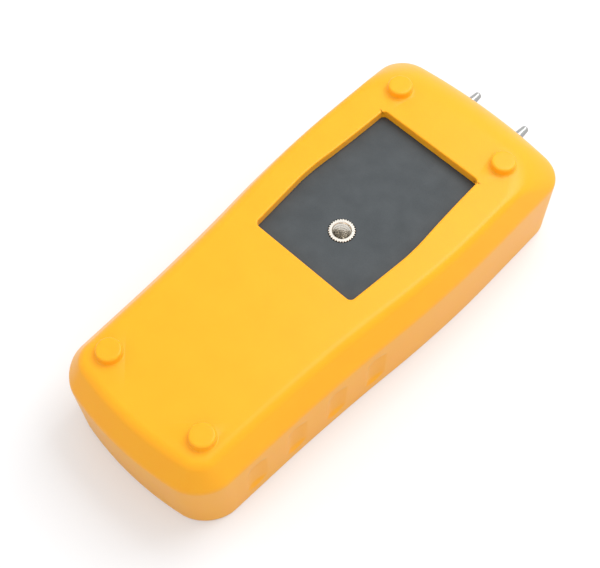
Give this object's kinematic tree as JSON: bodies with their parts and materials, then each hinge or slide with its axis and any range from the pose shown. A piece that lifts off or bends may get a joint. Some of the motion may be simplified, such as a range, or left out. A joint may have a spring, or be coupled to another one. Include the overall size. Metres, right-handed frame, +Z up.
{
  "type": "pin-type moisture meter",
  "caption": "Handheld pin-type moisture meter lying face down in a yellow rubber boot, with back feet, a back window over a tripod socket, and electrode pins at the nose.",
  "frame": {"origin": "on the table, under the middle of the overall box, with the meter lying on its face", "axes": "+X across the meter, +Y along it towards the electrode pins, +Z up, out of its back"},
  "size_m": [0.0714, 0.1722, 0.0376],
  "materials": {
    "boot_rubber": "smooth satin moulded rubber, yellow-orange",
    "case_abs": "fine spark-eroded texture, slate grey",
    "seal_rubber": "matt",
    "overlay_film": "fine matt film",
    "clear_acrylic": "polished clear",
    "white_plastic": "satin",
    "lcd_glass": "polished, grey-green",
    "circuit_board": "solder-mask gloss",
    "black_plastic": "satin",
    "battery_can": "satin paint",
    "foam": "matt closed-cell foam",
    "red_pvc": "soft gloss",
    "black_pvc": "soft gloss",
    "white_pvc": "soft gloss",
    "nickel_plate": "bright nickel plate on brass",
    "insulator_nylon": "satin",
    "steel": "zinc-plated",
    "nickel_steel": "nickel-plated steel, bright",
    "brass": "turned",
    "key_plastic": "satin"
  },
  "bodies": {
    "housing": {"protective_boot": "boot_rubber", "front_case": "case_abs", "rear_case": "case_abs", "case_seal": "seal_rubber", "battery_door": "case_abs", "case_screw_1": "steel", "case_screw_2": "steel", "case_screw_3": "steel", "case_screw_4": "steel", "face_overlay": "overlay_film", "display_lens": "clear_acrylic", "lcd_frame": "white_plastic", "lcd_glass": "lcd_glass", "lcd_backlight": "white_plastic", "zebra_strip_tail": "seal_rubber", "zebra_strip_nose": "seal_rubber", "main_board": "circuit_board", "board_screw_1": "steel", "board_screw_2": "steel", "board_screw_3": "steel", "board_screw_4": "steel", "controller_chip": "black_plastic", "buzzer": "black_plastic", "battery": "battery_can", "battery_foam": "foam", "battery_snap": "black_plastic", "battery_lead_red": "red_pvc", "battery_lead_black": "black_pvc", "tripod_insert": "nickel_plate", "nose_block": "insulator_nylon", "pin_socket_left": "brass", "electrode_pin_left": "nickel_steel", "pin_lead_left": "white_pvc", "pin_socket_right": "brass", "electrode_pin_right": "nickel_steel", "pin_lead_right": "red_pvc", "down_switch": "black_plastic", "hold_switch": "black_plastic", "up_switch": "black_plastic", "power_switch": "black_plastic"},
    "down_button": {"down_key": "key_plastic", "down_plunger": "white_plastic"},
    "hold_button": {"hold_key": "key_plastic", "hold_plunger": "white_plastic"},
    "up_button": {"up_key": "key_plastic", "up_plunger": "white_plastic"},
    "power_button": {"power_key": "key_plastic", "power_plunger": "white_plastic"}
  },
  "joints": [
    {"name": "down_key_press", "type": "slide", "parent": "housing", "child": "down_button", "axis": [0, 0, 1], "range_m": [0, 0.0008], "stiffness_N_per_m": 2500},
    {"name": "hold_key_press", "type": "slide", "parent": "housing", "child": "hold_button", "axis": [0, 0, 1], "range_m": [0, 0.0008], "stiffness_N_per_m": 2500},
    {"name": "up_key_press", "type": "slide", "parent": "housing", "child": "up_button", "axis": [0, 0, 1], "range_m": [0, 0.0008], "stiffness_N_per_m": 2500},
    {"name": "power_key_press", "type": "slide", "parent": "housing", "child": "power_button", "axis": [0, 0, 1], "range_m": [0, 0.0008], "stiffness_N_per_m": 2500}
  ]
}
